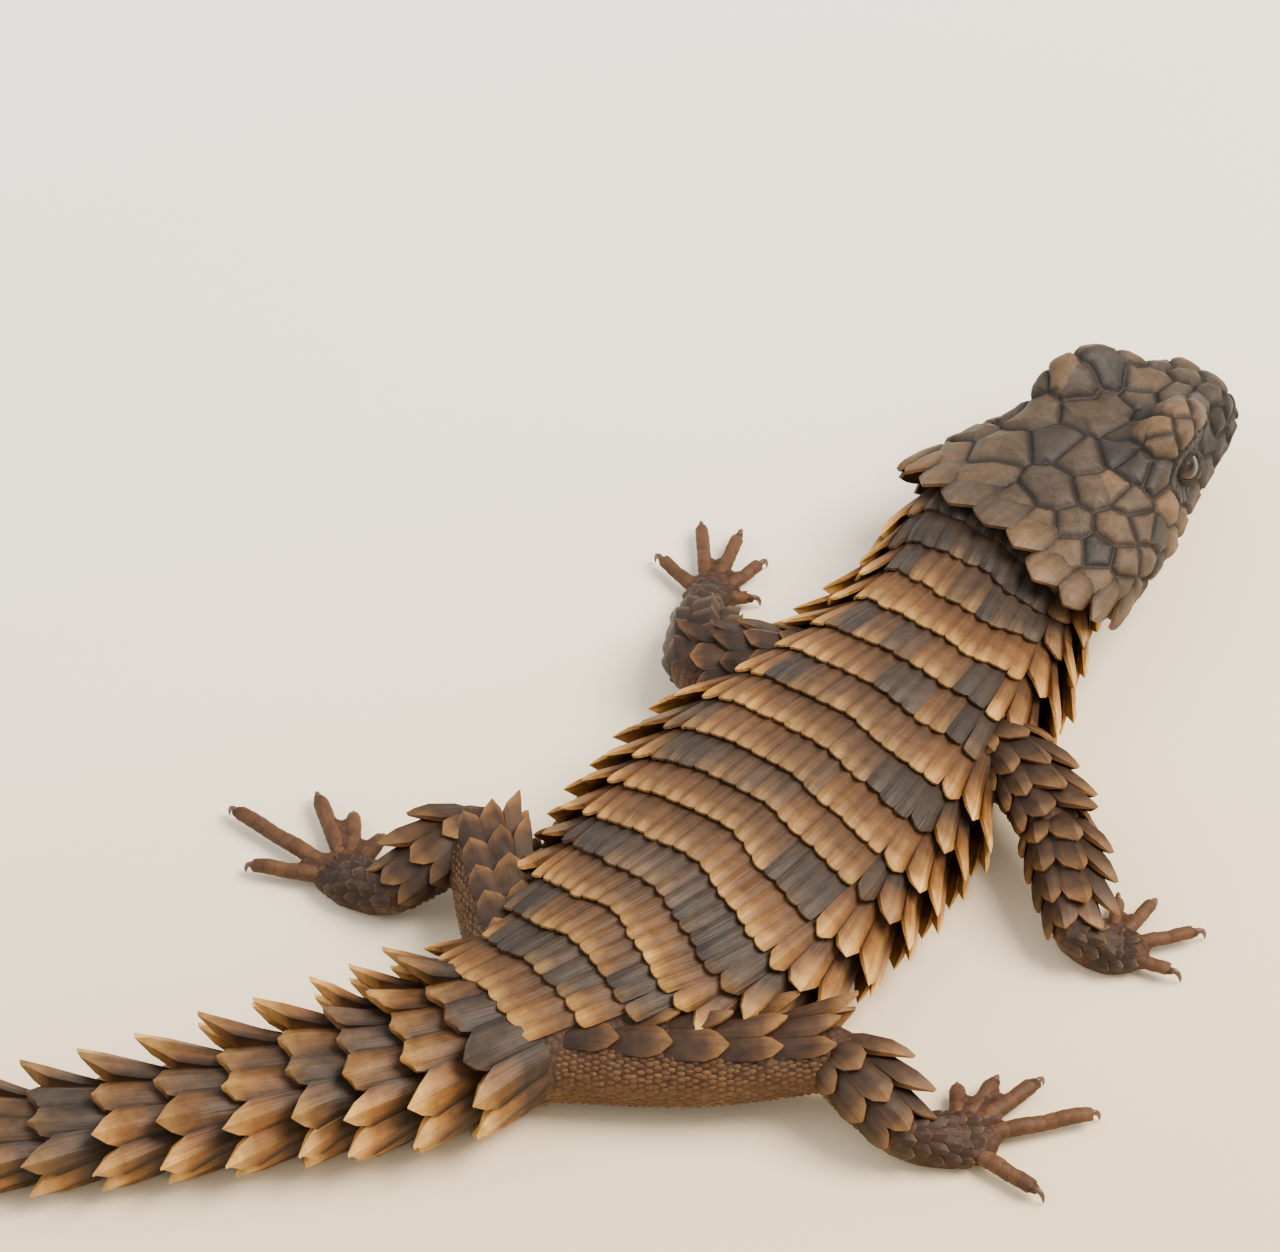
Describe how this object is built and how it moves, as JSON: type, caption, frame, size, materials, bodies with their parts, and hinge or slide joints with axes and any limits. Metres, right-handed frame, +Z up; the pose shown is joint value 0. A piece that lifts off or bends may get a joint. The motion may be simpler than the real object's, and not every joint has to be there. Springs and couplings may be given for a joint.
{
  "type": "armadillo girdled lizard",
  "caption": "Still life-size armadillo girdled lizard, resting flat with spread legs, a curved tail and rings of keeled, spiny scales.",
  "frame": {"origin": "on the floor under the middle of the whole animal's box", "axes": "+Y forward along the torso to the head, +X to the animal's right, +Z up"},
  "size_m": [0.0981, 0.1424, 0.0157],
  "materials": {
    "head_plates": "dry bony plates, taupe with dark grooves",
    "body_scales": "dry keeled horny scales, ochre, brown and charcoal",
    "tail_scales": "dry spiny whorls, brown with tan points",
    "limb_scales": "dry scales, dark reddish brown with tan points",
    "eye": "wet and glossy, nearly black"
  },
  "bodies": {
    "root": {"head": "head_plates", "jaw": "head_plates", "eye_left": "eye", "eye_right": "eye", "neck": "body_scales", "torso_front": "body_scales", "torso_middle": "body_scales", "torso_rear": "body_scales", "tail_1": "tail_scales", "tail_2": "tail_scales", "tail_3": "tail_scales", "tail_4": "tail_scales", "upper_arm_left": "limb_scales", "forearm_left": "limb_scales", "hand_left": "limb_scales", "thigh_left": "limb_scales", "shin_left": "limb_scales", "foot_left": "limb_scales", "upper_arm_right": "limb_scales", "forearm_right": "limb_scales", "hand_right": "limb_scales", "thigh_right": "limb_scales", "shin_right": "limb_scales", "foot_right": "limb_scales"}
  },
  "joints": []
}
